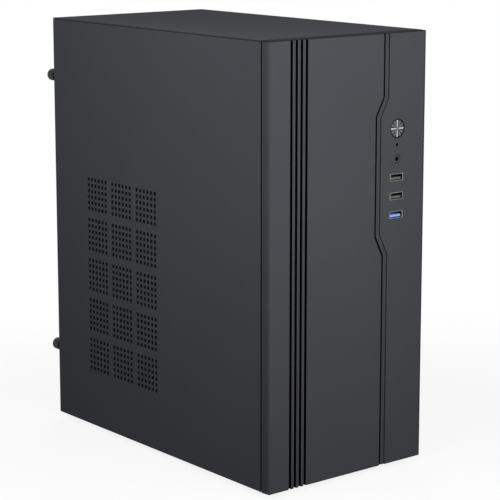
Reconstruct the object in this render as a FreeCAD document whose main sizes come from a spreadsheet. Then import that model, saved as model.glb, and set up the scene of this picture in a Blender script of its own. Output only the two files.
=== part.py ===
"""A micro ATX tower case: folded steel chassis, sliding side panels and a moulded front panel.

Frame: origin on the floor under the middle of the case, +Z up, the front panel faces -Y,
the vented side panel is on -X. Millimetres.
"""

import FreeCAD, Part
import Sketcher
import os
import re

os.makedirs("parts", exist_ok=True)
doc = FreeCAD.newDocument("MicroAtxCase")

# Driving dimensions, millimetres

SIZES = {
    # outside of the case
    "case_width": 160.5,
    "case_depth": 292,
    "body_height": 350,
    "foot_height": 4,
    "knob_reach": 11,
    # sheet steel, folds and the gaps between pieces
    "steel": 0.8,
    "slide_gap": 0.3,
    "bend_radius": 0.6,
    "tab_inset": 15,
    # rails that the side panels slide on
    "rail_width": 8,
    "rail_depth": 12,
    "base_depth": 6.5,
    "lip_over": 2.2,
    "lip_clear": 0.5,
    "flange_setback": 14,
    "rear_fold": 9,
    "knob_inset": 5,
    "knob_low": 60,
    "knob_drop": 50,
    "knob_hole": 4.4,
    "notch_size": 5,
    "knob_thread": 3.5,
    "knob_fit": 0.05,
    "knob_head": 10,
    "knob_neck": 7,
    "knob_neck_length": 2.5,
    "knob_bite": 3,
    # square vent holes of the left side panel
    "vent_hole": 3,
    "vent_pitch": 5,
    "vent_group_pitch": 35,
    "vent_margin": 1,
    "vent_back": 51.1,
    "vent_bottom": 51.2,
    "filter_over": 3,
    "filter_thick": 0.2,
    # top cover
    "cover_gap": 0.3,
    "cover_fold": 8,
    # moulded front panel
    "bezel_depth": 8.8,
    "bezel_draft": 0.3,
    "bezel_edge": 0.6,
    "bezel_wall": 2.4,
    "bezel_face": 3,
    "seam_gap": 1.1,
    "groove_width": 2.5,
    "groove_pitch": 5,
    "groove_first": 21.4,
    "groove_depth": 3.2,
    "groove_top": 0.8,
    "groove_back": 1.2,
    "channel_width": 5.8,
    "channel_depth": 1.2,
    "channel_slit": 2.3,
    "slit_depth": 2.3,
    "channel_in": 44.8,
    "channel_jog": 8,
    "channel_mitre": 0.25,
    "jog_low_drop": 177,
    "jog_low_tall": 16,
    "jog_high_drop": 65,
    "jog_high_tall": 15,
    "clip_width": 8,
    "clip_thick": 1.6,
    "clip_hook": 0.8,
    "clip_head": 4,
    "clip_play": 0.4,
    "clip_in": 8,
    "clip_first": 30,
    "clip_top": 40,
    # controls and sockets in one column, measured down from the top
    "port_in": 29.8,
    "button_drop": 76.1,
    "button_size": 15.3,
    "button_play": 0.2,
    "button_inset": 0.15,
    "button_flange": 1.2,
    "lug_over": 0.9,
    "lug_width": 5,
    "button_stem": 4,
    "button_travel": 1.5,
    "light_drop": 89,
    "light_size": 2.4,
    "light_play": 0.1,
    "jack_drop": 100.3,
    "jack_ring": 7.1,
    "jack_bore": 3.6,
    "jack_depth": 12,
    "jack_body": 8,
    "port_play": 0.1,
    "usb_width": 13.9,
    "usb_tall": 5.8,
    "usb_wall": 0.4,
    "usb_drop": 145,
    "usb_pitch": 15,
    "usb_tongue": 1.8,
    "usb_tongue_width": 11.4,
    "usb_tongue_raise": 0.6,
    "usb_tongue_back": 1.2,
    "usb_stop": 3,
    "port_sink": 0.15,
    # small circuit board behind the sockets
    "board_back": 14.5,
    "io_thick": 1.6,
    "io_width": 27,
    "io_low_drop": 154,
    "io_high_drop": 60,
    "io_post": 6,
    "io_screw": 2.4,
    "io_screw_head": 5,
    "io_screw_tall": 2,
    "io_screw_bite": 6,
    "switch_size": 6,
    "switch_deep": 3.6,
    "plunger_size": 3,
    "plunger_play": 0.05,
    "plunger_out": 1.7,
    "header_deep": 8,
    # motherboard tray and the standard board
    "tray_space": 15,
    "tray_front": 21.2,
    "tray_fold": 12,
    "standoff_height": 6.5,
    "standoff_flats": 5,
    "standoff_bore": 2.9,
    "standoff_bore_deep": 5.5,
    "board_rear_gap": 1.5,
    "board_shelf_gap": 1.2,
    "hole_column_a": 6.35,
    "hole_column_b": 163.83,
    "hole_row_a": 10.16,
    "hole_row_b": 33.02,
    "hole_row_c": 165.1,
    "hole_row_d": 237.49,
    "cooler_window": 110,
    "cooler_rear": 62,
    "cooler_drop": 38,
    "cable_slot_wide": 7,
    "cable_slot_tall": 50,
    "cable_slot_pitch": 78,
    # rear wall
    "io_aperture_tall": 158.75,
    "io_aperture_deep": 44.45,
    "io_aperture_under": 2.24,
    "io_aperture_over": 1,
    "slot_first": 169,
    "slot_pitch": 20.32,
    "slot_wide": 14.6,
    "cover_wide": 18.42,
    "cover_reach": 59,
    "slot_near": 56,
    "ledge_place": 52,
    "ledge_reach": 10.2,
    "slit_play": 0.3,
    "slot_screw_size": 3.5,
    "slot_screw_head": 7.9,
    "slot_screw_tall": 2.6,
    "slot_screw_bite": 5,
    "fan_spacing": 71.5,
    "fan_hole": 4.4,
    "fan_across": 27,
    "fan_drop": 172,
    "fan_open": 72,
    "fan_bar": 3,
    "fan_slot": 5,
    # power supply bay
    "psu_width": 150,
    "psu_height": 86,
    "psu_depth": 140,
    "psu_drop": 4.8,
    "psu_rim": 9,
    "psu_hole": 3.8,
    "psu_hole_side": 6,
    "psu_hole_top": 80,
    "psu_hole_left": 16,
    "psu_hole_right": 6,
    "shelf_deep": 60,
    "shelf_fold": 9,
    # drive cage
    "drive_length": 147,
    "drive_width": 101.6,
    "drive_play": 0.4,
    "drive_tall": 26.1,
    "drive_gap": 4,
    "cage_front": 27,
    "cage_tall": 60,
    "cage_flange": 9,
    "cage_ledge": 3,
    # air slots of the front frame
    "intake_wide": 90,
    "intake_side": 20,
    "intake_low": 50,
    "intake_slot": 12,
    "intake_bar": 6,
    # feet
    "foot_size": 18,
    "foot_taper": 1.5,
    "foot_plug": 6,
    "foot_plug_play": 0.1,
    "foot_plug_over": 2,
    "foot_side": 26,
    "foot_end": 36,
}

# Places worked out from the sizes

PLACES = {
    "x_side": "case_width/2",
    "x_skin": "x_side - steel",
    "x_frame": "x_skin - slide_gap",
    "x_web": "x_frame - steel",
    "x_rail": "x_frame - rail_width",
    "x_lip_out": "x_rail - slide_gap",
    "x_lip": "x_lip_out - steel",
    "x_tab": "x_side - tab_inset",
    "x_knob": "x_side - knob_inset",
    "tile_size": "5*vent_pitch + vent_hole + 2*vent_margin",
    "y_front": "-(case_depth + knob_reach)/2",
    "y_seam": "y_front + bezel_depth",
    "y_cover": "y_seam + cover_gap",
    "y_edge": "y_seam + seam_gap",
    "y_plate": "y_cover + steel + slide_gap",
    "y_deck": "y_plate + steel",
    "y_back": "y_front + case_depth",
    "y_fold": "y_back - steel",
    "y_rear": "y_fold - slide_gap",
    "y_in": "y_rear - steel",
    "y_tile": "y_back - vent_back + vent_hole/2 + vent_margin - tile_size",
    "z_base": "foot_height",
    "knob_high": "body_height - knob_drop",
    "jog_low_start": "body_height - jog_low_drop",
    "jog_low_end": "jog_low_start + jog_low_tall",
    "jog_high_start": "body_height - jog_high_drop",
    "jog_high_end": "jog_high_start + jog_high_tall",
    "clip_pitch": "(body_height - clip_first - clip_top)/2",
    "button_height": "body_height - button_drop",
    "light_height": "body_height - light_drop",
    "jack_height": "body_height - jack_drop",
    "usb_first": "body_height - usb_drop",
    "io_low": "body_height - io_low_drop",
    "io_high": "body_height - io_high_drop",
    "fan_height": "body_height - fan_drop",
    "z_top": "z_base + body_height",
    "z_under": "z_top - steel",
    "z_flange": "z_under - slide_gap",
    "z_strip": "z_flange - steel - slide_gap",
    "z_deck": "z_strip - rail_depth",
    "z_lip_high": "z_strip - steel - lip_over",
    "z_sill": "z_base + steel + slide_gap",
    "z_floor": "z_sill + base_depth",
    "z_lip_low": "z_sill + steel + lip_over",
    "z_tile": "z_base + vent_bottom - vent_hole/2 - vent_margin",
    "y_face_in": "y_front + bezel_face",
    "x_port": "x_side - port_in",
    "y_io": "y_front + board_back",
    "y_io_rear": "y_io + io_thick",
    "y_switch": "y_io - switch_deep",
    "y_plunger": "y_switch - plunger_out",
    "x_channel": "x_side - channel_in",
    "z_psu": "z_strip - psu_drop - psu_height",
    "z_board": "z_psu - steel - board_shelf_gap",
    "x_tray": "x_frame - tray_space",
    "x_board": "x_tray - standoff_height",
    "y_board": "y_in - board_rear_gap",
    "y_tray": "y_deck + tray_front",
    "x_io_high": "x_board + io_aperture_under",
    "x_io_low": "x_io_high - io_aperture_deep",
    "z_io_high": "z_board + io_aperture_over",
    "z_io_low": "z_io_high - io_aperture_tall",
    "z_slot": "z_board - slot_first",
    "x_ledge": "0 - ledge_place",
    "x_slot_end": "x_ledge - steel",
    "y_cage": "y_front + cage_front",
    "y_cage_end": "y_cage + drive_width + 2*drive_play + 2*steel",
    "z_cage": "z_deck - steel",
    "z_cage_low": "z_cage - cage_tall",
}

NAMES = {name: "Sizes" for name in SIZES}
NAMES.update({name: "Places" for name in PLACES})


def tied(text):
    """An expression whose words are sizes and places, with the sheet written before each."""
    return re.sub(r"[a-z_]+", lambda word: f"{NAMES[word[0]]}.{word[0]}" if word[0] in NAMES else word[0], text)


def fill(label, rows):
    """A spreadsheet with one named cell a row."""
    sheet = doc.addObject("Spreadsheet::Sheet", label)
    for row, (name, text) in enumerate(rows.items(), 1):
        sheet.set(f"A{row}", name)
        sheet.set(f"B{row}", text)
        sheet.setAlias(f"B{row}", name)
    return sheet


sizes = fill("Sizes", {name: str(number) for name, number in SIZES.items()})
places = fill("Places", {name: "=" + tied(text) for name, text in PLACES.items()})
doc.recompute()


def size(name):
    """The number that the sheets hold under a name."""
    return float((sizes if name in SIZES else places).get(name))


# Ways to draw: outlines are lists of corners, each corner a pair of expressions

AXES = {"X": ("YZ_Plane", 1), "Y": ("XZ_Plane", -1), "Z": ("XY_Plane", 1)}


def box(low_u, low_v, high_u, high_v):
    """A rectangle's corners."""
    return [(low_u, low_v), (high_u, low_v), (high_u, high_v), (low_u, high_v)]


def disc(centre_u, centre_v, across):
    """A circle, by its centre and diameter."""
    return (centre_u, centre_v, across)


def polygon(centre_u, centre_v, flats, sides):
    """A regular polygon's corners, from the size across its flats."""
    turn = 360 / sides
    reach = f"({flats})/2/cos({turn / 2}deg)"
    return [(f"{centre_u} + {reach}*cos({turn * number}deg)", f"{centre_v} + {reach}*sin({turn * number}deg)")
            for number in range(sides)]


def hexagon(centre_u, centre_v, flats):
    """A hexagon's corners, from the size across its flats."""
    return polygon(centre_u, centre_v, flats, 6)


def new_body(label):
    """An empty body, which becomes one sub-part."""
    return doc.addObject("PartDesign::Body", label)


def origin_plane(body, role):
    """One of the body's own origin planes or axes."""
    return next(item for item in body.Origin.OriginFeatures if item.Role == role)


def tie(sketch, constraint, text):
    """Adds a constraint whose value follows an expression."""
    index = sketch.addConstraint(constraint)
    sketch.setExpression(f"Constraints[{index}]", tied(text))


def outline(sketch, corners):
    """A closed run of lines with every corner tied to the sheets."""
    first = sketch.GeometryCount
    count = len(corners)
    spread = [FreeCAD.Vector(index, (index * index) % 7, 0) for index in range(count)]
    for index in range(count):
        line = Part.LineSegment(spread[index], spread[(index + 1) % count])
        sketch.addGeometry(line, False)
    for index in range(count):
        joined = first + (index + 1) % count
        sketch.addConstraint(Sketcher.Constraint("Coincident", first + index, 2, joined, 1))
    for index, (across, up) in enumerate(corners):
        tie(sketch, Sketcher.Constraint("DistanceX", -1, 1, first + index, 1, spread[index].x), across)
        tie(sketch, Sketcher.Constraint("DistanceY", -1, 1, first + index, 1, spread[index].y), up)


def ring(sketch, across, up, diameter):
    """A circle with its centre and diameter tied to the sheets."""
    geometry = sketch.addGeometry(Part.Circle(FreeCAD.Vector(1, 1, 0), FreeCAD.Vector(0, 0, 1), 1), False)
    tie(sketch, Sketcher.Constraint("DistanceX", -1, 1, geometry, 3, 1), across)
    tie(sketch, Sketcher.Constraint("DistanceY", -1, 1, geometry, 3, 1), up)
    tie(sketch, Sketcher.Constraint("Diameter", geometry, 2), diameter)


def drawing(body, name, axis, place, shapes):
    """A sketch square to an axis, at a place along it."""
    role, sign = AXES[axis]
    sketch = body.newObject("Sketcher::SketchObject", name + "_sketch")
    sketch.AttachmentSupport = [(origin_plane(body, role), "")]
    sketch.MapMode = "FlatFace"
    sketch.setExpression("AttachmentOffset.Base.z", tied(place if sign > 0 else f"-({place})"))
    for shape in shapes:
        if isinstance(shape, tuple):
            ring(sketch, *shape)
        else:
            outline(sketch, shape)
    return sketch


def grow(body, name, axis, low, high, *shapes):
    """Adds material between two places along an axis."""
    pad = body.newObject("PartDesign::Pad", name)
    pad.Profile = drawing(body, name, axis, low, shapes)
    pad.Reversed = AXES[axis][1] < 0
    pad.setExpression("Length", tied(f"({high}) - ({low})"))
    return pad


def cut(body, name, axis, low, high, *shapes):
    """Takes material away between two places along an axis."""
    pocket = body.newObject("PartDesign::Pocket", name)
    pocket.Profile = drawing(body, name, axis, low, shapes)
    pocket.Reversed = AXES[axis][1] > 0
    pocket.setExpression("Length", tied(f"({high}) - ({low})"))
    return pocket


def repeat(pattern, body, axis, pitch, count):
    """Sets a pattern's direction and spacing; a minus sign before the pitch turns it round."""
    pattern.Direction = (origin_plane(body, f"{axis}_Axis"), [""])
    pattern.Reversed = pitch.startswith("-")
    pattern.setExpression("Length", tied(f"({pitch.lstrip('-')})*({count} - 1)"))
    pattern.Occurrences = count


def row(body, feature, axis, pitch, count):
    """Repeats a feature along an axis."""
    pattern = body.newObject("PartDesign::LinearPattern", feature.Name + "_row")
    pattern.Originals = [feature]
    repeat(pattern, body, axis, pitch, count)
    body.Tip = pattern
    return pattern


def grid(body, feature, first, second):
    """Repeats a feature along two axes."""
    pattern = body.newObject("PartDesign::MultiTransform", feature.Name + "_grid")
    pattern.Originals = [feature]
    rows = []
    for axis, pitch, count in (first, second):
        line = doc.addObject("PartDesign::LinearPattern", feature.Name + "_line")
        body.addObject(line)
        repeat(line, body, axis, pitch, count)
        rows.append(line)
    pattern.Transformations = rows
    body.Tip = pattern
    return pattern


def soften(body, name, radius, keep):
    """Rounds the edges of the body's last shape that pass a test."""
    doc.recompute()
    base = body.Tip
    edges = [f"Edge{index}" for index, edge in enumerate(base.Shape.Edges, 1) if keep(edge)]
    fillet = body.newObject("PartDesign::Fillet", name)
    fillet.Base = (base, edges)
    fillet.setExpression("Radius", tied(radius))
    return fillet


def bevel(body, name, across, along, keep):
    """Cuts the kept edges of the body's last shape back by two distances."""
    doc.recompute()
    base = body.Tip
    edges = [f"Edge{index}" for index, edge in enumerate(base.Shape.Edges, 1) if keep(edge)]
    chamfer = body.newObject("PartDesign::Chamfer", name)
    chamfer.Base = (base, edges)
    chamfer.ChamferType = "Two distances"
    chamfer.setExpression("Size", tied(along))
    chamfer.setExpression("Size2", tied(across))
    return chamfer


def runs_along(edge, axis, **at):
    """True where a straight edge runs along an axis and lies at the given places."""
    box_of = edge.BoundBox
    lengths = {"X": box_of.XLength, "Y": box_of.YLength, "Z": box_of.ZLength}
    middle = {"x": box_of.Center.x, "y": box_of.Center.y, "z": box_of.Center.z}
    others = [length for name, length in lengths.items() if name != axis]
    return max(others) < 0.01 and all(abs(middle[name] - place) < 0.01 for name, place in at.items())


def shown(label, shape):
    """A sub-part whose shape is made from finished shapes."""
    feature = doc.addObject("Part::Feature", label)
    feature.Shape = shape
    return feature


def copies(label, master, steps):
    """One sub-part made of equal solids: the master moved by each step."""
    doc.recompute()
    return shown(label, Part.makeCompound([master.Shape.translated(FreeCAD.Vector(*step)) for step in steps]))


# Base pan: a tray folded down and in along both sides, for the rails

def base_pan():
    body = new_body("base_pan")
    grow(
        body, "base_section", "Y", "y_deck", "y_in",
        [
            ("-x_frame", "z_sill"), ("-x_rail", "z_sill"), ("-x_rail", "z_sill + steel"),
            ("-x_web", "z_sill + steel"), ("-x_web", "z_floor - steel"), ("x_web", "z_floor - steel"),
            ("x_web", "z_sill + steel"), ("x_rail", "z_sill + steel"), ("x_rail", "z_sill"),
            ("x_frame", "z_sill"), ("x_frame", "z_floor"), ("-x_frame", "z_floor"),
        ],
    )
    grow(body, "base_front_fold", "Y", "y_deck", "y_deck + steel",
         box("-x_tab", "z_floor - steel", "x_tab", "z_floor + tray_fold"))
    grow(body, "base_rear_fold", "Y", "y_in - steel", "y_in",
         box("-x_tab", "z_floor - steel", "x_tray - tray_fold", "z_floor + steel*3"))
    plug = cut(body, "base_plug", "Z", "z_sill", "z_floor + steel",
               box("-x_side + foot_side - foot_plug/2", "y_seam + foot_end - foot_plug/2",
                   "-x_side + foot_side + foot_plug/2", "y_seam + foot_end + foot_plug/2"))
    grid(body, plug, ("X", "2*(x_side - foot_side)", 2), ("Y", "y_back - y_seam - 2*foot_end", 2))
    return body


# Upper frame: the same folded rail turned over, with a deck in front of the power supply

def upper_frame():
    body = new_body("upper_frame")
    grow(
        body, "upper_section", "Y", "y_deck", "y_in",
        [
            ("-x_frame", "z_strip"), ("-x_frame", "z_deck - steel"), ("x_frame", "z_deck - steel"),
            ("x_frame", "z_strip"), ("x_rail", "z_strip"), ("x_rail", "z_strip - steel"),
            ("x_web", "z_strip - steel"), ("x_web", "z_deck"), ("-x_web", "z_deck"),
            ("-x_web", "z_strip - steel"), ("-x_rail", "z_strip - steel"), ("-x_rail", "z_strip"),
        ],
    )
    cut(body, "upper_psu_window", "Z", "z_deck - 2*steel", "z_deck + steel",
        box("-x_web", "y_in - psu_depth - drive_gap", "x_web", "y_in + steel"))
    cut(body, "upper_window", "Z", "z_deck - 2*steel", "z_deck + steel",
        box("-x_tab + cage_flange", "y_cage + cage_flange", "x_tab - cage_flange",
            "y_cage_end - cage_flange"))
    return body


# Front frame: the steel wall behind the moulded panel

def front_frame():
    body = new_body("front_frame")
    grow(body, "front_wall", "Y", "y_plate", "y_deck", box("-x_frame", "z_sill", "x_frame", "z_strip"))
    for name, low, high in (("left", "-x_frame", "-x_web"), ("right", "x_web", "x_frame")):
        grow(body, f"front_{name}_fold", "Y", "y_plate", "y_deck + tray_fold",
             box(low, "z_floor + slide_gap", high, "z_deck - steel - slide_gap"))
    cut(body, "front_port_window", "Y", "y_plate - steel", "y_deck + steel",
        box("x_port - io_width/2 - drive_gap", "z_base + io_low - drive_gap",
            "x_port + io_width/2 + steel", "z_base + io_high + drive_gap"))
    intake = cut(body, "front_intake", "Y", "y_plate - steel", "y_deck + steel",
                 box("-x_side + intake_side", "z_base + intake_low", "-x_side + intake_side + intake_wide",
                     "z_base + intake_low + intake_slot"))
    row(body, intake, "Z", "intake_slot + intake_bar", 5)
    for name, side in (("left", "-"), ("right", "")):
        middle = f"{side}(x_side - clip_in)"
        window = cut(body, f"front_clip_{name}", "Y", "y_plate - steel", "y_deck + steel",
                     box(f"{middle} - clip_head", "z_base + clip_first - clip_width/2 - clip_play",
                         f"{middle} + clip_head", "z_base + clip_first + clip_width/2 + clip_play"))
        row(body, window, "Z", "clip_pitch", 3)
    return body


# Rear frame: the wall with the bays, the slots and the ledge that the slot covers screw to

def rear_frame():
    body = new_body("rear_frame")
    grow(
        body, "rear_wall", "Y", "y_in", "y_rear",
        [
            ("-x_frame", "z_lip_low + lip_clear"), ("-x_tab", "z_lip_low + lip_clear"), ("-x_tab", "z_sill"),
            ("x_tab", "z_sill"), ("x_tab", "z_lip_low + lip_clear"), ("x_frame", "z_lip_low + lip_clear"),
            ("x_frame", "z_lip_high - lip_clear"), ("x_tab", "z_lip_high - lip_clear"), ("x_tab", "z_strip"),
            ("-x_tab", "z_strip"), ("-x_tab", "z_lip_high - lip_clear"),
            ("-x_frame", "z_lip_high - lip_clear"),
        ],
    )
    psu_holes = [
        hexagon(f"{side}(psu_width/2 - psu_hole_side)", f"z_psu + {rise}", "psu_hole")
        for side, rise in (("-", "psu_hole_left"), ("", "psu_hole_right"), ("-", "psu_hole_top"),
                           ("", "psu_hole_top"))
    ]
    cut(body, "rear_bay_windows", "Y", "y_in - steel", "y_rear + steel",
        box("-psu_width/2 + psu_rim", "z_psu + psu_rim", "psu_width/2 - psu_rim",
            "z_psu + psu_height - psu_rim"),
        box("x_io_low", "z_io_low", "x_io_high", "z_io_high"), *psu_holes)
    card_slots(body)
    fan_vents(body)
    threads = [
        hexagon(f"{side}x_knob", f"z_base + {rise}", "knob_thread + 2*knob_fit")
        for side in ("-", "") for rise in ("knob_low", "knob_high")
    ]
    cut(body, "rear_threads", "Y", "y_in - steel", "y_rear + steel", *threads)
    return body


def card_slots(body):
    """Four slots, the slits beside them and the ledge that stands out between."""
    middles = [f"z_slot - slot_pitch*{number}" for number in range(4)]
    slots = [box("x_ledge", f"{middle} - slot_wide/2", "slot_near", f"{middle} + slot_wide/2")
             for middle in middles]
    slits = [box("x_slot_end - steel - slit_play", f"{middle} - cover_wide/2 - slit_play", "x_slot_end",
                 f"{middle} + cover_wide/2 + slit_play") for middle in middles]
    cut(body, "rear_slots", "Y", "y_in - steel", "y_rear + steel", *slots, *slits)
    grow(body, "rear_ledge", "Y", "y_in", "y_rear + ledge_reach",
         box("x_slot_end", "z_slot - slot_pitch*3.5", "x_ledge", "z_slot + slot_pitch/2"))
    cut(body, "rear_slot_threads", "X", "x_slot_end - steel", "x_ledge + steel",
        *[hexagon("y_rear + ledge_reach/2", middle, "slot_screw_size*0.86 + 2*knob_fit") for middle in middles])


def fan_vents(body):
    """Level slots in a round field, with a screw hole at each corner of the fan."""
    across, up, step = "-fan_across", "z_base + fan_height", "(fan_slot + fan_bar)"
    vents = []
    for number in range(-4, 5):
        half = f"sqrt((fan_open/2)^2 - ({number}*{step})^2)"
        middle = f"{up} + ({number})*{step}"
        vents.append(box(f"{across} - {half}", f"{middle} - fan_slot/2", f"{across} + {half}",
                         f"{middle} + fan_slot/2"))
    holes = [disc(f"{across} + ({a})*fan_spacing/2", f"{up} + ({b})*fan_spacing/2", "fan_hole")
             for a in (-1, 1) for b in (-1, 1)]
    cut(body, "rear_fan_vents", "Y", "y_in - steel", "y_rear + steel", *vents, *holes)


# Motherboard tray: upright sheet with folds to the floor, the rear wall and the front

def motherboard_tray():
    body = new_body("motherboard_tray")
    grow(body, "tray_sheet", "X", "x_tray", "x_tray + steel",
         box("y_tray", "z_floor", "y_in", "z_psu - steel"))
    grow(body, "tray_bottom_fold", "X", "x_tray", "x_tray + tray_fold",
         box("y_tray", "z_floor", "y_in", "z_floor + steel"))
    grow(body, "tray_front_fold", "X", "x_tray", "x_tray + tray_fold",
         box("y_tray", "z_floor", "y_tray + steel", "z_psu - steel"))
    grow(body, "tray_rear_fold", "X", "x_tray", "x_tray + tray_fold - knob_inset",
         box("y_in - steel", "z_floor", "y_in", "z_psu - steel"))
    low, high = "x_tray - steel", "x_tray + 2*steel"
    cut(body, "tray_cooler_window", "X", low, high,
        box("y_board - cooler_rear - cooler_window", "z_board - cooler_drop - cooler_window",
            "y_board - cooler_rear", "z_board - cooler_drop"))
    cable = cut(body, "tray_cable_slot", "X", low, high,
                box("y_tray + steel + slide_gap", "z_floor + tray_fold",
                    "y_tray + steel + slide_gap + cable_slot_wide", "z_floor + tray_fold + cable_slot_tall"))
    row(body, cable, "Z", "cable_slot_pitch", 3)
    return body


def standoffs():
    """Six hexagonal pillars at standard places of the board."""
    pillar = new_body("standoff_pillar")
    grow(pillar, "pillar", "X", "x_tray - standoff_height", "x_tray", hexagon("0", "0", "standoff_flats"))
    cut(pillar, "pillar_bore", "X", "x_tray - standoff_height - steel",
        "x_tray - standoff_height + standoff_bore_deep", disc("0", "0", "standoff_bore"))
    holes = [("a", "b"), ("a", "c"), ("a", "d"), ("b", "a"), ("b", "c"), ("b", "d")]
    steps = [(0, size("y_board") - size(f"hole_column_{column}"), size("z_board") - size(f"hole_row_{line}"))
             for column, line in holes]
    return copies("standoffs", pillar, steps)


# Power supply shelf: a cross sheet folded up the rear wall

def psu_shelf():
    body = new_body("psu_shelf")
    grow(body, "shelf_sheet", "Z", "z_psu - steel", "z_psu",
         box("-x_frame", "y_in - shelf_deep", "x_frame", "y_in"))
    grow(body, "shelf_front_fold", "Y", "y_in - shelf_deep", "y_in - shelf_deep + steel",
         box("-x_frame", "z_psu - shelf_fold", "x_tray - steel", "z_psu"))
    grow(body, "shelf_rear_fold", "Y", "y_in - steel", "y_in",
         box("-x_frame + rear_fold", "z_psu - steel", "x_frame - rear_fold", "z_psu + psu_rim - steel"))
    cut(body, "shelf_window", "Z", "z_psu - 2*steel", "z_psu + steel",
        box("-x_tab + shelf_fold", "y_in - shelf_deep + shelf_fold", "x_tab - shelf_fold", "y_in - shelf_fold"))
    return body


# Drive cage: a folded channel under the deck, open at both sides, with ledges for two drives

def drive_cage():
    body = new_body("drive_cage")
    half = "drive_length/2"
    grow(
        body, "cage_section", "X", f"-{half}", half,
        [
            ("y_cage - cage_flange", "z_cage - steel"), ("y_cage", "z_cage - steel"), ("y_cage", "z_cage_low"),
            ("y_cage_end", "z_cage_low"), ("y_cage_end", "z_cage - steel"),
            ("y_cage_end + cage_flange", "z_cage - steel"), ("y_cage_end + cage_flange", "z_cage"),
            ("y_cage_end - steel", "z_cage"), ("y_cage_end - steel", "z_cage_low + steel"),
            ("y_cage + steel", "z_cage_low + steel"), ("y_cage + steel", "z_cage"),
            ("y_cage - cage_flange", "z_cage"),
        ],
    )
    cut(body, "cage_floor_window", "Z", "z_cage_low - steel", "z_cage_low + 2*steel",
        box(f"-{half} + foot_size", "y_cage + foot_size", f"{half} - foot_size", "y_cage_end - foot_size"))
    cut(body, "cage_wall_window", "Y", "y_cage - steel", "y_cage_end + steel",
        box(f"-{half} + foot_size", "z_cage_low + cage_flange", f"{half} - foot_size",
            "z_cage_low + drive_tall - steel"))
    for name, low, high in (("front", "y_cage + steel", "y_cage + steel + cage_ledge"),
                            ("rear", "y_cage_end - steel - cage_ledge", "y_cage_end - steel")):
        grow(body, f"cage_{name}_ledge", "X", f"-{half}", half,
             box(low, "z_cage_low + steel + drive_tall + drive_play", high,
                 "z_cage_low + 2*steel + drive_tall + drive_play"))
    return body


# Top cover: a flat sheet folded down at the front and the back

def top_cover():
    body = new_body("top_cover")
    grow(body, "cover_sheet", "Z", "z_under", "z_top", box("-x_side", "y_cover", "x_side", "y_back"))
    grow(body, "cover_front_fold", "Y", "y_cover", "y_cover + steel",
         box("-x_tab", "z_top - cover_fold", "x_tab", "z_top"))
    grow(body, "cover_rear_fold", "Y", "y_fold", "y_back",
         box("-x_tab", "z_top - cover_fold", "x_tab", "z_top"))
    return body


# Side panels: sheets folded over the rails above and below and round the rear edge

def panel_section(side):
    """The folded section, seen from the front, for the side whose sign is given."""
    corners = [
        ("x_side", "z_base"), ("x_lip", "z_base"), ("x_lip", "z_lip_low"), ("x_lip_out", "z_lip_low"),
        ("x_lip_out", "z_base + steel"), ("x_skin", "z_base + steel"), ("x_skin", "z_flange - steel"),
        ("x_lip_out", "z_flange - steel"), ("x_lip_out", "z_lip_high"), ("x_lip", "z_lip_high"),
        ("x_lip", "z_flange"), ("x_side", "z_flange"),
    ]
    return [(f"{side}{across}", up) for across, up in corners]


def side_panel(label, side):
    body = new_body(label)
    grow(body, f"{label}_section", "Y", "y_edge", "y_back", panel_section(side))
    cut(body, f"{label}_setback", "Y", "y_edge - steel", "y_edge + flange_setback",
        box(f"{side}(x_lip - steel)", "z_base - steel", f"{side}x_skin", "z_flange + steel"))
    grow(body, f"{label}_rear_fold", "Y", "y_fold", "y_back",
         box(f"{side}x_side", "z_base", f"{side}(x_side - rear_fold)", "z_flange"))
    hole = cut(body, f"{label}_screw_hole", "Y", "y_fold - slide_gap", "y_back + steel",
               box(f"{side}x_knob - knob_hole/2", "z_base + knob_low - knob_hole/2",
                   f"{side}x_knob + knob_hole/2", "z_base + knob_low + knob_hole/2"))
    row(body, hole, "Z", "knob_high - knob_low", 2)
    edge_x = size("x_side") * (-1 if side else 1)
    soften(body, f"{label}_bends", "bend_radius", lambda edge: (
        runs_along(edge, "Y", x=edge_x) or runs_along(edge, "Z", x=edge_x, y=size("y_back"))))
    for name, rise in (("low", "psu_hole_left" if side else "psu_hole_right"), ("high", "psu_hole_top")):
        cut(body, f"{label}_notch_{name}", "Y", "y_fold - slide_gap", "y_back + steel",
            box(f"{side}(x_side - rear_fold - steel)", f"z_psu + {rise} - notch_size",
                f"{side}(x_side - rear_fold + notch_size/2)", f"z_psu + {rise} + notch_size"))
    return body


def vented_panel():
    """The left panel: its blank, with each group of vent holes let in as a pierced tile."""
    blank = side_panel("left_panel_blank", "-")
    window = cut(blank, "vent_window", "X", "-x_side - steel", "-x_skin + steel",
                 box("y_tile", "z_tile", "y_tile + tile_size", "z_tile + tile_size"))
    grid(blank, window, ("Y", "-vent_group_pitch", 3), ("Z", "vent_group_pitch", 5))
    panel = doc.addObject("Part::MultiFuse", "left_side_panel")
    panel.Shapes = [blank] + [vent_tile(column, line) for column in range(3) for line in range(5)]
    panel.Refine = False
    return panel


def vent_filter():
    """The thin dust filter glued behind the vent holes."""
    body = new_body("vent_filter")
    grow(body, "filter_sheet", "X", "-x_skin", "-x_skin + filter_thick",
         box("y_tile - 2*vent_group_pitch - filter_over", "z_tile - filter_over",
             "y_tile + tile_size + filter_over", "z_tile + 4*vent_group_pitch + tile_size + filter_over"))
    return body


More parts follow.
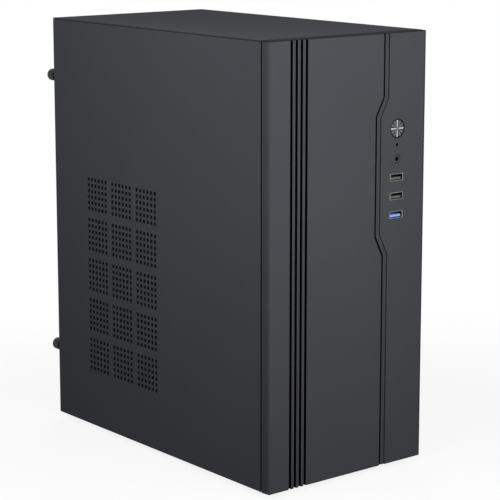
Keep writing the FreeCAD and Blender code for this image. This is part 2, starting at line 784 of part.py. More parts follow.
def vent_tile(column, line):
    """One square of the sheet, pierced by six rows of six holes."""
    low = FreeCAD.Vector(-size("x_side"), size("y_tile") - column * size("vent_group_pitch"),
                         size("z_tile") + line * size("vent_group_pitch"))

    def square(across, up, side):
        """A closed square wire in the plane of the sheet."""
        corners = [(0, 0), (side, 0), (side, side), (0, side), (0, 0)]
        return Part.makePolygon([low + FreeCAD.Vector(0, across + a, up + b) for a, b in corners])

    pitch, hole, margin = size("vent_pitch"), size("vent_hole"), size("vent_margin")
    wires = [square(0, 0, size("tile_size"))]
    for step_y in range(6):
        for step_z in range(6):
            wires.append(square(margin + step_y * pitch, margin + step_z * pitch, hole))
    sheet = Part.Face(wires, "Part::FaceMakerBullseye")
    return shown(f"vent_tile_{column}_{line}", sheet.extrude(FreeCAD.Vector(size("steel"), 0, 0)))


def front_panel():
    """Moulded shell with drafted sides, four grooves, the stepped channel, the port holes, posts and clips."""
    body = new_body("front_panel")
    grow(body, "panel_block", "Y", "y_front", "y_seam", box("-x_side", "z_base", "x_side", "z_top"))
    bevel(body, "panel_draft", "bezel_draft", "bezel_depth - bezel_edge",
          lambda edge: edge.BoundBox.YMax < size("y_front") + 1)
    cut(body, "panel_hollow", "Y", "y_face_in", "y_seam + steel",
        box("-x_side + bezel_draft + bezel_wall", "z_base + bezel_draft + bezel_wall",
            "x_side - bezel_draft - bezel_wall", "z_top - bezel_draft - bezel_wall"))
    grooves(body)
    channel(body)
    port_holes(body)
    posts_and_clips(body)
    return body


def grooves(body):
    left = "-x_side + groove_first"
    grow(body, "groove_backing", "Y", "y_face_in - slide_gap", "y_front + groove_depth + groove_back",
         box(f"{left} - groove_width*1.5", "z_base + bezel_draft + bezel_wall/2",
             f"{left} + groove_pitch*3 + groove_width*1.5", "z_top - bezel_draft - bezel_wall/2"))
    groove = cut(body, "groove", "Y", "y_front - steel", "y_front + groove_depth",
                 box(f"{left} - groove_width/2", "z_base - steel", f"{left} + groove_width/2",
                     "z_top - groove_top"))
    row(body, groove, "X", "groove_pitch", 4)


def channel(body):
    """A shallow stepped channel with a deeper slit along its left wall."""
    for name, width, depth in (("channel_floor", "channel_width", "channel_depth"),
                               ("channel_slit_cut", "channel_slit", "slit_depth")):
        steps = [("0", "-steel", 0), ("0", "jog_low_start", 1), ("-channel_jog", "jog_low_end", 1),
                 ("-channel_jog", "jog_high_start", -1), ("0", "jog_high_end", -1),
                 ("0", "body_height - groove_top", 0)]
        left = [(f"x_channel + ({across})", f"z_base + ({up})") for across, up, mitre in steps]
        right = [(f"x_channel + ({across}) + {width}", f"z_base + ({up}) + ({mitre})*channel_mitre*{width}")
                 for across, up, mitre in reversed(steps)]
        cut(body, name, "Y", "y_front - steel", f"y_front + {depth}", left + right)


def port_holes(body):
    sockets = [
        box("x_port - usb_width/2 - port_play", f"z_base + {middle} - usb_tall/2 - port_play",
            "x_port + usb_width/2 + port_play", f"z_base + {middle} + usb_tall/2 + port_play")
        for middle in ("usb_first", "usb_first + usb_pitch", "usb_first + 2*usb_pitch")
    ]
    cut(body, "port_holes", "Y", "y_front - steel", "y_face_in + steel",
        disc("x_port", "z_base + button_height", "button_size + 2*button_play"),
        polygon("x_port", "z_base + light_height", "light_size + 2*light_play", 12),
        disc("x_port", "z_base + jack_height", "jack_ring + 2*port_play"), *sockets)


def posts_and_clips(body):
    post = grow(body, "post", "Y", "y_face_in - slide_gap", "y_io",
                box("x_port - io_post/2", "z_base + io_low", "x_port + io_post/2", "z_base + io_low + io_post"))
    row(body, post, "Z", "io_high - io_low - io_post", 2)
    for name, high in (("low", "io_low + io_post/2"), ("high", "io_high - io_post/2")):
        cut(body, f"post_bore_{name}", "Y", "y_io - io_screw_bite", "y_io + steel",
            hexagon("x_port", f"z_base + {high}", "io_screw + 2*knob_fit"))
    for name, side in (("left", "-"), ("right", "")):
        out = f"{side}(x_side - clip_in"
        clip = grow(
            body, f"clip_{name}", "Z", "z_base + clip_first - clip_width/2",
            "z_base + clip_first + clip_width/2",
            [
                (f"{out} + clip_thick/2)", "y_face_in - slide_gap"),
                (f"{out} - clip_thick/2)", "y_face_in - slide_gap"),
                (f"{out} - clip_thick/2)", "y_deck + clip_head"), (f"{out})", "y_deck + clip_head"),
                (f"{out} + clip_thick/2 + clip_hook)", "y_deck + slide_gap + clip_hook"),
                (f"{out} + clip_thick/2 + clip_hook)", "y_deck + slide_gap"),
                (f"{out} + clip_thick/2)", "y_deck + slide_gap"),
            ],
        )
        row(body, clip, "Z", "clip_pitch", 3)


# Power button: a turned disc with two lugs behind the panel and a stem to the switch

def power_button_cap():
    body = new_body("power_button_cap")
    middle, back = "y_face_in + slide_gap", "y_face_in + slide_gap + button_flange"
    up, half = "z_base + button_height", "(button_size/2 + lug_over)"
    grow(body, "cap_disc", "Y", "y_front + button_inset", middle, disc("x_port", up, "button_size"))
    grow(body, "cap_lugs", "Y", middle, back,
         box(f"x_port - {half}", f"{up} - lug_width/2", f"x_port + {half}", f"{up} + lug_width/2"))
    grow(body, "cap_stem", "Y", back, "y_plunger",
         box("x_port - button_stem/2", f"{up} - button_stem/2", "x_port + button_stem/2",
             f"{up} + button_stem/2"))
    return body


def switch_plunger():
    body = new_body("switch_plunger")
    half = "plunger_size/2"
    grow(body, "plunger", "Y", "y_plunger", "y_switch + plunger_play",
         box(f"x_port - {half}", f"z_base + button_height - {half}", f"x_port + {half}",
             f"z_base + button_height + {half}"))
    return body


def power_switch():
    body = new_body("power_switch")
    half, mouth = "switch_size/2", "(plunger_size/2 + plunger_play)"
    grow(body, "switch_case", "Y", "y_switch", "y_io",
         box(f"x_port - {half}", f"z_base + button_height - {half}", f"x_port + {half}",
             f"z_base + button_height + {half}"))
    cut(body, "switch_mouth", "Y", "y_switch - steel", "y_switch + button_travel + 4*plunger_play",
        box(f"x_port - {mouth}", f"z_base + button_height - {mouth}", f"x_port + {mouth}",
            f"z_base + button_height + {mouth}"))
    return body


def led_lens():
    body = new_body("led_lens")
    grow(body, "lens", "Y", "y_front + port_sink", "y_io",
         polygon("x_port", "z_base + light_height", "light_size", 12))
    return body


def audio_jack():
    body = new_body("audio_jack")
    half = "jack_body/2"
    grow(body, "jack_case", "Y", "y_face_in + slide_gap", "y_io",
         box(f"x_port - {half}", f"z_base + jack_height - {half}", f"x_port + {half}",
             f"z_base + jack_height + {half}"))
    grow(body, "jack_nose", "Y", "y_front + port_sink", "y_face_in + 2*slide_gap",
         disc("x_port", "z_base + jack_height", "jack_ring"))
    cut(body, "jack_hole", "Y", "y_front - steel", "y_front + port_sink + jack_depth",
        disc("x_port", "z_base + jack_height", "jack_bore"))
    return body


def usb_socket(number):
    """A sheet shell with an open mouth, and the moulded tongue that stands in it."""
    middle = f"z_base + usb_first + usb_pitch*{3 - number}"
    half_w, half_h = "usb_width/2", "usb_tall/2"
    shell = new_body(f"usb_shell_{number}")
    grow(shell, f"usb_sleeve_{number}", "Y", "y_front + port_sink", "y_io",
         box(f"x_port - {half_w}", f"{middle} - {half_h}", f"x_port + {half_w}", f"{middle} + {half_h}"),
         box(f"x_port - {half_w} + usb_wall", f"{middle} - {half_h} + usb_wall",
             f"x_port + {half_w} - usb_wall", f"{middle} + {half_h} - usb_wall"))
    tongue = new_body(f"usb_tongue_{number}")
    grow(tongue, f"usb_stop_{number}", "Y", "y_io - usb_stop", "y_io",
         box(f"x_port - {half_w} + usb_wall", f"{middle} - {half_h} + usb_wall",
             f"x_port + {half_w} - usb_wall", f"{middle} + {half_h} - usb_wall"))
    floor = f"{middle} - {half_h} + usb_wall + usb_tongue_raise"
    grow(tongue, f"usb_blade_{number}", "Y", "y_front + port_sink + usb_tongue_back",
         "y_io - usb_stop + slide_gap",
         box("x_port - usb_tongue_width/2", floor, "x_port + usb_tongue_width/2", f"{floor} + usb_tongue"))
    return [shell, tongue]


# Small circuit board that carries the switch, the light, the jack and the sockets

def io_board():
    body = new_body("io_board")
    grow(body, "board_sheet", "Y", "y_io", "y_io_rear",
         box("x_port - io_width/2", "z_base + io_low", "x_port + io_width/2", "z_base + io_high"))
    for name, high in (("low", "io_low + io_post/2"), ("high", "io_high - io_post/2")):
        cut(body, f"board_hole_{name}", "Y", "y_io - steel", "y_io_rear + steel",
            hexagon("x_port", f"z_base + {high}", "io_screw + 2*knob_fit"))
    return body


def io_screws():
    screw = new_body("io_screw_master")
    grow(screw, "io_screw_cap", "Y", "y_io_rear", "y_io_rear + io_screw_tall",
         hexagon("x_port", "0", "io_screw_head"))
    grow(screw, "io_screw_shank", "Y", "y_io_rear - io_screw_bite", "y_io_rear + slide_gap",
         hexagon("x_port", "0", "io_screw"))
    half = size("io_post") / 2
    heights = (size("io_low") + half, size("io_high") - half)
    return copies("io_screws", screw, [(0, 0, size("z_base") + height) for height in heights])


def io_headers():
    """Two box headers on the rear of the small board, open to the rear."""
    body = new_body("header_master")
    wide, tall = "io_width/2 - io_post/2", "usb_tall + usb_wall"
    grow(body, "header_shroud", "Y", "y_io_rear", "y_io_rear + header_deep",
         box(f"x_port - ({wide})", "-usb_tall", f"x_port + {wide}", tall))
    cut(body, "header_mouth", "Y", "y_io_rear + slide_gap*4", "y_io_rear + header_deep + steel",
        box(f"x_port - ({wide}) + 2*usb_wall", "-usb_tall + 2*usb_wall", f"x_port + {wide} - 2*usb_wall",
            "usb_tall - usb_wall"))
    heights = (size("usb_first") + size("usb_tall"), size("jack_height"))
    return copies("io_headers", body, [(0, 0, size("z_base") + height) for height in heights])


# Slot covers: sheet strips inside the rear wall, bent out over the ledge

def slot_cover(number):
    body = new_body(f"slot_cover_{number}")
    middle = f"z_slot - slot_pitch*{number - 1}"
    low, high = f"{middle} - cover_wide/2", f"{middle} + cover_wide/2"
    grow(body, f"cover_strip_{number}", "Y", "y_in - steel", "y_in",
         [("x_slot_end - steel", low), ("cover_reach - cover_wide/4", low),
          ("cover_reach", f"{middle} - slot_wide/3"), ("cover_reach", f"{middle} + slot_wide/3"),
          ("cover_reach - cover_wide/4", high), ("x_slot_end - steel", high)])
    grow(body, f"cover_tab_{number}", "Y", "y_in - steel", "y_rear + ledge_reach",
         box("x_slot_end - steel", low, "x_slot_end", high))
    half = "(slot_screw_size/2 + knob_fit)"
    cut(body, f"cover_notch_{number}", "X", "x_slot_end - 2*steel", "x_slot_end + steel",
        box(f"y_rear + ledge_reach/2 - {half}", f"{middle} - {half}", "y_rear + ledge_reach + steel",
            f"{middle} + {half}"))
    return body


def slot_screws():
    screw = new_body("slot_screw_master")
    grow(screw, "slot_screw_cap", "X", "x_slot_end - steel - slot_screw_tall", "x_slot_end - steel",
         hexagon("y_rear + ledge_reach/2", "0", "slot_screw_head"))
    grow(screw, "slot_screw_shank", "X", "x_slot_end - steel - slide_gap", "x_ledge + slot_screw_bite",
         hexagon("y_rear + ledge_reach/2", "0", "slot_screw_size*0.86"))
    steps = [(0, 0, size("z_slot") - size("slot_pitch") * number) for number in range(4)]
    return copies("slot_screws", screw, steps)


# Thumbscrews that hold the side panels to the rear wall

def thumbscrew(label, side, height):
    body = new_body(label)
    across, up = f"{side}x_knob", f"z_base + {height}"
    grow(body, f"{label}_head", "Y", "y_back + slide_gap + knob_neck_length", "y_back + knob_reach",
         polygon(across, up, "knob_head", 12))
    grow(body, f"{label}_neck", "Y", "y_back + slide_gap", "y_back + slide_gap + knob_neck_length + slide_gap",
         hexagon(across, up, "knob_neck"))
    grow(body, f"{label}_shank", "Y", "y_in - knob_bite", "y_back + 2*slide_gap",
         hexagon(across, up, "knob_thread*0.86"))
    return body


# Feet: soft blocks with a plug pushed up through the base pan

def foot(label, side, end):
    body = new_body(label)
    across = f"{side}(x_side - foot_side)"
    along = f"y_{end} {'+' if end == 'seam' else '-'} foot_end"
    half = "foot_size/2"
    grow(body, f"{label}_block", "Z", "0", "z_floor - steel",
         box(f"{across} - {half}", f"{along} - {half}", f"{across} + {half}", f"{along} + {half}"))
    bevel(body, f"{label}_taper", "foot_taper", "foot_height", lambda edge: edge.BoundBox.ZMax < 1)
    plug = "(foot_plug/2 - foot_plug_play)"
    grow(body, f"{label}_plug", "Z", "z_floor - 2*steel", "z_floor + foot_plug_over",
         box(f"{across} - {plug}", f"{along} - {plug}", f"{across} + {plug}", f"{along} + {plug}"))
    return body


def button_column():
    """The pieces behind and in the port holes of the front panel."""
    pieces = [power_button_cap(), switch_plunger(), power_switch(), led_lens(), audio_jack()]
    for number in (1, 2, 3):
        pieces += usb_socket(number)
    return pieces + [io_board(), io_screws(), io_headers()]


kept = [base_pan(), upper_frame(), front_frame(), rear_frame(), motherboard_tray(), standoffs()]
kept += [psu_shelf(), drive_cage(), top_cover()]
kept += [vented_panel(), vent_filter(), side_panel("right_side_panel", "")]
kept += [front_panel()] + button_column()
kept += [slot_cover(number) for number in (1, 2, 3, 4)] + [slot_screws()]
for side_name, side_sign in (("left", "-"), ("right", "")):
    for place_name, place_height in (("low", "knob_low"), ("high", "knob_high")):
        kept.append(thumbscrew(f"thumbscrew_{side_name}_{place_name}", side_sign, place_height))
    for end_name, end_line in (("front", "seam"), ("rear", "back")):
        kept.append(foot(f"foot_{side_name}_{end_name}", side_sign, end_line))

doc.recompute()
for item in doc.Objects:
    if "Invalid" in item.State or "Error" in item.State:
        raise RuntimeError(f"{item.Label} did not compute: {item.State}")
for piece in kept:
    if piece.Shape.isNull() or not piece.Shape.isValid() or not piece.Shape.Solids:
        raise RuntimeError(f"{piece.Label} has no sound solid")
    piece.Shape.exportStep(f"parts/{piece.Label}.step")
print(len(kept), "sub-parts written")
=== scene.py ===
import math

import bmesh
import bpy
import numpy as np
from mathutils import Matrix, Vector


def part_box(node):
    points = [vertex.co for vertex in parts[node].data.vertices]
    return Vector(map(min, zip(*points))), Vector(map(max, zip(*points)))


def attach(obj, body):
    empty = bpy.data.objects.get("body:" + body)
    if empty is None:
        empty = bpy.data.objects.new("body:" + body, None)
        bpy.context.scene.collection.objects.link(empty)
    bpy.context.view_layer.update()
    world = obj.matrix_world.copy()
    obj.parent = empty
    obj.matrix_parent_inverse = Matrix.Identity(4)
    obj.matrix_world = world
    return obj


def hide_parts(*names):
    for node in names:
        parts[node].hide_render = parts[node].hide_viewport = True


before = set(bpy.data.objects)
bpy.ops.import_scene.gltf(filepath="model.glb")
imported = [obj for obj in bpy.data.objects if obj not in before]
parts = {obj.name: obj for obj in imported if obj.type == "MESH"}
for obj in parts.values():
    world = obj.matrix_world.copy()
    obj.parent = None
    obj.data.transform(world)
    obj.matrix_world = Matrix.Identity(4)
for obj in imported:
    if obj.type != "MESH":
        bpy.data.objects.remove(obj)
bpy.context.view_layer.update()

# A micro ATX tower case in dark grey. Metres; the front panel faces -Y and the vented side is on -X.
MM = 0.001


# Chassis: base pan, upper frame, front and rear frames, board tray, supply shelf and drive cage.
# Real ones are pressed from 0.8 mm steel sheet, folded, riveted together and given a thin
# satin dark coat, which shows a fine grain; a painted highlight makes it a little paler along its edges.

def effect(name, inputs, outputs):
    """A shader node group with the named sockets: its tree, the sockets that bring its values in and
    the ones that take its outcome out."""
    tree = bpy.data.node_groups.new(name, "ShaderNodeTree")
    for label, kind, value in inputs:
        tree.interface.new_socket(label, in_out="INPUT", socket_type=kind).default_value = value
    for label, kind in outputs:
        tree.interface.new_socket(label, in_out="OUTPUT", socket_type=kind)
    return tree, tree.nodes.new("NodeGroupInput").outputs, tree.nodes.new("NodeGroupOutput").inputs


def fill(tree, socket, value):
    """Gives a socket its link or its constant."""
    if isinstance(value, bpy.types.NodeSocket):
        tree.links.new(value, socket)
    else:
        socket.default_value = value


def wire(tree, kind, settings=(), **sockets):
    """A node of a kind, with its settings. Each socket is named with _ for a space, or with i and its
    number, and gets a value or a link."""
    node = tree.nodes.new(kind)
    for label, value in dict(settings).items():
        setattr(node, label, value)
    for label, value in sockets.items():
        index = int(label[1:]) if label[1:].isdigit() else label.replace("_", " ")
        fill(tree, node.inputs[index], value)
    return node


def work(tree, operation, *values):
    """The outcome of one sum on its values."""
    sockets = {f"i{index}": value for index, value in enumerate(values)}
    return wire(tree, "ShaderNodeMath", {"operation": operation}, **sockets).outputs[0]


def ramp(tree, value, low, high):
    """0 below low, 1 above high and a smooth step between; low may be the larger one."""
    node = wire(tree, "ShaderNodeMapRange", {"interpolation_type": "SMOOTHSTEP"}, Value=value,
                From_Min=low, From_Max=high)
    return node.outputs[0]


def axes(tree, way):
    """The three parts of a vector."""
    return wire(tree, "ShaderNodeSeparateXYZ", Vector=way).outputs


def way_between(tree, end, start):
    """The vector that leads from start to end."""
    return wire(tree, "ShaderNodeVectorMath", {"operation": "SUBTRACT"}, i0=end, i1=start).outputs[0]


def grain_effect():
    """Height is fine noise of the given grain size, with a quarter of a coarser one. Patch is slow,
    wide noise."""
    tree, given, out = effect("fine_grain", [("Place", "NodeSocketVector", (0, 0, 0)),
                                             ("Size", "NodeSocketFloat", 0.0004)],
                              [("Height", "NodeSocketFloat"), ("Patch", "NodeSocketFloat")])
    often = work(tree, "DIVIDE", 1, given["Size"])
    seldom = work(tree, "MULTIPLY", often, 0.22)
    fine = wire(tree, "ShaderNodeTexNoise", Vector=given["Place"], Scale=often, Detail=2.0)
    coarse = wire(tree, "ShaderNodeTexNoise", Vector=given["Place"], Scale=seldom, Detail=1.0)
    slow = wire(tree, "ShaderNodeTexNoise", Vector=given["Place"], Scale=9.0, Detail=3.0, Roughness=0.6)
    height = work(tree, "ADD", work(tree, "MULTIPLY", fine.outputs[0], 0.75),
                  work(tree, "MULTIPLY", coarse.outputs[0], 0.25))
    tree.links.new(height, out["Height"])
    tree.links.new(ramp(tree, slow.outputs[0], 0.3, 0.7), out["Patch"])
    return tree


def edge_highlight_effect():
    """The output is 1 on the edges of the box from Low to High, for a painted highlight: where the second
    nearest of its walls is within Width, by a limit that noise moves in and out."""
    tree, given, out = effect("painted_edge_highlight", [("Place", "NodeSocketVector", (0, 0, 0)),
                                            ("Low", "NodeSocketVector", (0, 0, 0)),
                                            ("High", "NodeSocketVector", (0, 0, 0)),
                                            ("Width", "NodeSocketFloat", 0.001)],
                              [("Highlight", "NodeSocketFloat")])
    from_low = axes(tree, way_between(tree, given["Place"], given["Low"]))
    to_high = axes(tree, way_between(tree, given["High"], given["Place"]))
    near = [work(tree, "MINIMUM", from_low[axis], to_high[axis]) for axis in range(3)]
    second = work(tree, "MAXIMUM", work(tree, "MINIMUM", near[0], near[1]),
                  work(tree, "MINIMUM", work(tree, "MAXIMUM", near[0], near[1]), near[2]))
    broken = wire(tree, "ShaderNodeTexNoise", Vector=given["Place"], Scale=90.0, Detail=3.0)
    limit = work(tree, "MULTIPLY", given["Width"], work(tree, "ADD", broken.outputs[0], 0.5))
    whole = ramp(tree, work(tree, "DIVIDE", second, limit), 0.3, 1.0)
    tree.links.new(work(tree, "SUBTRACT", 1, whole), out["Highlight"])
    return tree


FINE_GRAIN = grain_effect()
# Paints a highlight along the edges of a box.
EDGE_HIGHLIGHT = edge_highlight_effect()


def placed(tree, group, **sockets):
    """A node group set into a material, with its sockets filled."""
    node = tree.nodes.new("ShaderNodeGroup")
    node.node_tree = group
    for label, value in sockets.items():
        fill(tree, node.inputs[label], value)
    return node.outputs


def blank(name, **constant):
    """A material with its Principled shader and the object's own coordinates. Constants go on the
    shader's sockets."""
    material = bpy.data.materials.new(name)
    material.use_nodes = True
    tree = material.node_tree
    shader = tree.nodes["Principled BSDF"]
    for label, value in constant.items():
        shader.inputs[label.replace("_", " ")].default_value = value
    place = wire(tree, "ShaderNodeTexCoord").outputs["Object"]
    return material, tree, shader, place


def mixed(tree, share, first, second):
    """A colour between two, by share."""
    node = wire(tree, "ShaderNodeMix", {"data_type": "RGBA"}, i0=share, i6=first, i7=second)
    return node.outputs[2]


def shaded(colour, by):
    """A colour made lighter or darker by a factor, with its opacity kept."""
    return tuple(channel * by for channel in colour[:3]) + (1.0,)


def coated(name, colour, roughness, size, depth, box, worn=1.35, width=1.2 * MM, specular=0.3):
    """A coated or moulded surface: slow patches of tone, fine grain in the height, and edges painted
    paler as a highlight.
    """
    material, tree, shader, place = blank(name, Specular_IOR_Level=specular)
    grain = placed(tree, FINE_GRAIN, Place=place, Size=size)
    edge = placed(tree, EDGE_HIGHLIGHT, Place=place, Low=box[0], High=box[1], Width=width)
    tone = mixed(tree, grain["Patch"], shaded(colour, 0.955), shaded(colour, 1.045))
    grains = ramp(tree, grain["Height"], 0.36, 0.64)
    speck = mixed(tree, grains, shaded(colour, 0.88), shaded(colour, 1.12))
    body = mixed(tree, 0.5, tone, speck)
    # The edges are painted paler, as a highlight.
    highlight_share = work(tree, "MULTIPLY", edge["Highlight"], 0.6)
    tree.links.new(mixed(tree, highlight_share, body, shaded(colour, worn)), shader.inputs["Base Color"])
    rough = work(tree, "ADD", roughness - 0.05, work(tree, "MULTIPLY", grain["Height"], 0.1))
    tree.links.new(rough, shader.inputs["Roughness"])
    bump = wire(tree, "ShaderNodeBump", Strength=0.6, Distance=depth, Height=grain["Height"])
    tree.links.new(bump.outputs[0], shader.inputs["Normal"])
    return material, tree, shader, place, body


def dress(node, material):
    """Gives a CAD node its finish."""
    parts[node].material_slots[0].material = material


def clad(node, name, colour, roughness, size, depth, **more):
    """Coats a CAD node all over, with a painted highlight on the edges of the node's own box."""
    dress(node, coated(name, colour, roughness, size, depth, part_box(node), **more)[0])


INNER_GREY = (0.030, 0.031, 0.034)
COAT_GRAIN = 0.35 * MM
COAT_DEPTH = 0.012 * MM
for node in ("base_pan", "upper_frame", "front_frame", "rear_frame", "motherboard_tray", "psu_shelf",
             "drive_cage"):
    clad(node, f"{node}_coat", INNER_GREY, 0.5, COAT_GRAIN, COAT_DEPTH)


# Rivets of the rear wall: steel pop rivets that hold the board tray and the supply shelf to it.
# Each is a low dome with the small hole that its pulled pin leaves.

def skin(name, solids):
    """A mesh of closed solids. Each is an array of rings, rings x points x 3: neighbouring rings are
    joined by four-sided faces, and the first and the last ring are closed by one face each."""
    points, faces, start = [], [], 0
    for rings in solids:
        rows, across, _ = rings.shape
        number = start + np.arange(rows * across).reshape(rows, across)
        beside = np.roll(number, -1, axis=1)
        quads = np.stack([number[:-1], beside[:-1], beside[1:], number[1:]], axis=-1).reshape(-1, 4)
        faces += quads.tolist() + [number[0][::-1].tolist(), number[-1].tolist()]
        points.append(rings.reshape(-1, 3))
        start += rows * across
    mesh = bpy.data.meshes.new(name)
    mesh.from_pydata(np.concatenate(points).tolist(), [], faces)
    shell = bmesh.new()
    shell.from_mesh(mesh)
    bmesh.ops.recalc_face_normals(shell, faces=shell.faces)
    shell.to_mesh(mesh)
    shell.free()
    piece = bpy.data.objects.new(name, mesh)
    bpy.context.scene.collection.objects.link(piece)
    return piece


def turned(profile, centre, axis, steps=32, wave=None):
    """Rings round an axis through centre. Each profile row is (radius, place along the axis, share of
    the wave), in millimetres. The radius at angle t is radius x (1 + share x wave(t))."""
    along = np.array(axis, float)
    out = np.array((0.0, 0.0, 1.0)) if abs(along[2]) < 0.5 else np.array((1.0, 0.0, 0.0))
    side = np.cross(along, out)
    angle = np.linspace(0, 2 * math.pi, steps, endpoint=False)
    table = np.array(profile, float) * (MM, MM, 1)
    swell = 1 + table[:, 2:3] * (wave(angle) if wave else np.zeros(steps))[None, :]
    radius = table[:, 0:1] * swell
    ring = np.cos(angle)[:, None] * out + np.sin(angle)[:, None] * side
    return np.array(centre) + table[:, 1][:, None, None] * along + radius[:, :, None] * ring[None]


def soft_shading(piece, limit=35):
    """Smooth shading except where faces meet more sharply than the limit, in degrees."""
    piece.data.polygons.foreach_set("use_smooth", np.ones(len(piece.data.polygons), bool))
    shell = bmesh.new()
    shell.from_mesh(piece.data)
    for edge in shell.edges:
        edge.smooth = edge.calc_face_angle(0) < math.radians(limit)
    shell.to_mesh(piece.data)
    shell.free()


def finish(piece, body, slot, material, *stands_for):
    """Puts a new piece on its body, with its finish and the CAD nodes that it stands for."""
    piece.data.materials.append(material)
    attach(piece, body)
    if stands_for:
        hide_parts(*stands_for)


def plated(name, colour, roughness, size, depth, packing=(1, 1, 1)):
    """Bare or plated metal with fine grain and slow patches of gloss. The grain is packed closer along
    each axis by its packing: a high one gives rings across that axis, a low one lines along it."""
    material, tree, shader, place = blank(name, Metallic=1.0)
    drawn = wire(tree, "ShaderNodeMapping", Vector=place, Scale=packing).outputs[0]
    grain = placed(tree, FINE_GRAIN, Place=drawn, Size=size)
    tree.links.new(mixed(tree, grain["Height"], shaded(colour, 0.86), shaded(colour, 1.1)),
                   shader.inputs["Base Color"])
    rough = work(tree, "ADD", roughness, work(tree, "MULTIPLY", grain["Patch"], 0.12))
    tree.links.new(rough, shader.inputs["Roughness"])
    bump = wire(tree, "ShaderNodeBump", Strength=0.5, Distance=depth, Height=grain["Height"])
    tree.links.new(bump.outputs[0], shader.inputs["Normal"])
    return material


ZINC = plated("bright_zinc", (0.36, 0.365, 0.37), 0.38, 0.5 * MM, 0.01 * MM)
REAR_FACE = 139.4
RIVET = [(2.4, 0.0, 0), (2.4, 0.25, 0), (2.2, 0.6, 0), (1.7, 0.95, 0), (1.2, 1.05, 0), (0.75, 1.0, 0),
         (0.7, 0.3, 0)]
tray_rivets = [(67.8, height) for height in (45, 105, 165, 225)]
shelf_rivets = [(across, 265.2) for across in (-52, 0, 52)]
rivets = skin("rear_rivets", [turned(RIVET, (across * MM, REAR_FACE * MM, height * MM), (0, 1, 0), 20)
                              for across, height in tray_rivets + shelf_rivets])
soft_shading(rivets)
finish(rivets, "chassis", "zinc_steel", ZINC)


# Standoffs: six hexagonal brass pillars pressed into the board tray, each with a threaded bore
# for a board screw. They are turned from bar, so fine rings run round them.

BRASS = plated("turned_brass", (0.62, 0.43, 0.16), 0.3, 0.25 * MM, 0.01 * MM, (6, 1, 1))
dress("standoffs", BRASS)


# Slot covers: four steel strips behind the card slots, sheared and bent out over the ledge, and
# coated like the chassis. Each is held by one screw, and its sheared edges are slightly rounded.

def rounded(node, width, segments=2):
    """Joins a CAD node's loose faces and rounds its sharp edges."""
    joined = parts[node].modifiers.new("joined", "WELD")
    joined.merge_threshold = 0.002 * MM
    bend = parts[node].modifiers.new("rounded", "BEVEL")
    bend.width, bend.segments = width, segments
    bend.limit_method, bend.angle_limit = "ANGLE", math.radians(35)
    bend.harden_normals = False


SLOT_COUNT = 4
for number in range(1, SLOT_COUNT + 1):
    node = f"slot_cover_{number}"
    clad(node, f"{node}_coat", INNER_GREY, 0.46, COAT_GRAIN, COAT_DEPTH)
    rounded(node, 0.15 * MM)


# Slot cover screws: four zinc plated steel screws with a hexagonal washer head and a cross recess.
# They are driven along +X into the ledge that stands out of the rear wall.

def hexagonal(angle):
    """1 divided by the cosine of the angle from the middle of the nearest wall, less 1: how far a
    hexagon's wall lies outside its inner circle, as a share of the radius."""
    return 1 / np.cos((angle + math.pi / 6) % (math.pi / 3) - math.pi / 6) - 1


RECESS_EDGE = 2.1
RECESS_RINGS = (1.9, 1.5, 1.1, 0.7, 0.35, 0.12)
THREAD_PITCH = 0.7


def screw_rings(centre, axis, sizes, steps=48):
    """A screw from the tip of its thread to the floor of its cross recess. The sizes are the thread's
    radius and length, the inner radius of the hexagonal head, the washer's radius and the head's
    height, in millimetres. The thread is rings of two radii in turn. The recess at radius r is
    (1.2 - 0.3 r) mm deep within 0.26 mm of the cross's two lines, nothing past 0.42 mm, and less
    close to the recess's edge."""
    shank, length, flats, washer, tall = sizes
    turns = max(3, int(length / THREAD_PITCH))
    thread = [(shank * (1.0 if index % 2 else 0.86), -length + length * (index + 1) / (2 * turns + 1), 0)
              for index in range(2 * turns)]
    rows = [(shank * 0.5, -length, 0)] + thread
    rows += [(shank, -0.02, 0), (washer, 0, 0), (washer, 0.5, 0), (flats * 1.02, 0.55, 0)]
    rows += [(flats, 0.6, 1), (flats, tall - 0.35, 1), (flats * 0.9, tall, 0.6), (RECESS_EDGE, tall, 0)]
    head_rows = len(rows)
    rows += [(radius, tall, 0) for radius in RECESS_RINGS]
    rings = turned(rows, centre, axis, steps, hexagonal)
    angle = np.linspace(0, 2 * math.pi, steps, endpoint=False)
    for row, radius in enumerate(RECESS_RINGS, head_rows):
        aside = np.minimum(np.abs(np.sin(angle)), np.abs(np.cos(angle))) * radius
        inside = np.clip((0.42 - aside) / 0.16, 0, 1) * min(1, (RECESS_EDGE - radius) / 0.4)
        rings[row] -= inside[:, None] * (1.2 - 0.3 * radius) * MM * np.array(axis, float)
    return rings


ledge_side, cover_sheet, behind_wall = -52.8, 0.8, 5.1
screw_face = (ledge_side - cover_sheet) * MM
screw_line = (REAR_FACE + behind_wall) * MM
top_slot, slot_pitch = 90.0, 20.32
slot_screws = skin("slot_screws_turned", [
    screw_rings((screw_face, screw_line, (top_slot - slot_pitch * number) * MM), (-1, 0, 0),
                (1.45, 6.2, 3.0, 3.9, 2.5))
    for number in range(SLOT_COUNT)])
soft_shading(slot_screws, 30)
finish(slot_screws, "chassis", "zinc_steel", ZINC, "slot_screws")


# Feet: four soft rubber blocks with a plug pushed up through the base pan, moulded in black.
# Their skin is a little dusty at the floor.

FOOT_BLACK = (0.014, 0.014, 0.015)
FLOOR_DUST = (0.09, 0.085, 0.08, 1)
for node in ("foot_left_front", "foot_left_rear", "foot_right_front", "foot_right_rear"):
    rubber, tree, shader, place, foot_colour = coated(f"{node}_rubber", FOOT_BLACK, 0.75, 0.3 * MM,
                                                      0.02 * MM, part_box(node), worn=2.2)
    dusty = work(tree, "MULTIPLY", ramp(tree, axes(tree, place)[2], 2.5 * MM, 0.0), 0.5)
    tree.links.new(mixed(tree, dusty, foot_colour, FLOOR_DUST), shader.inputs["Base Color"])
    dress(node, rubber)
    rounded(node, 0.5 * MM, 3)


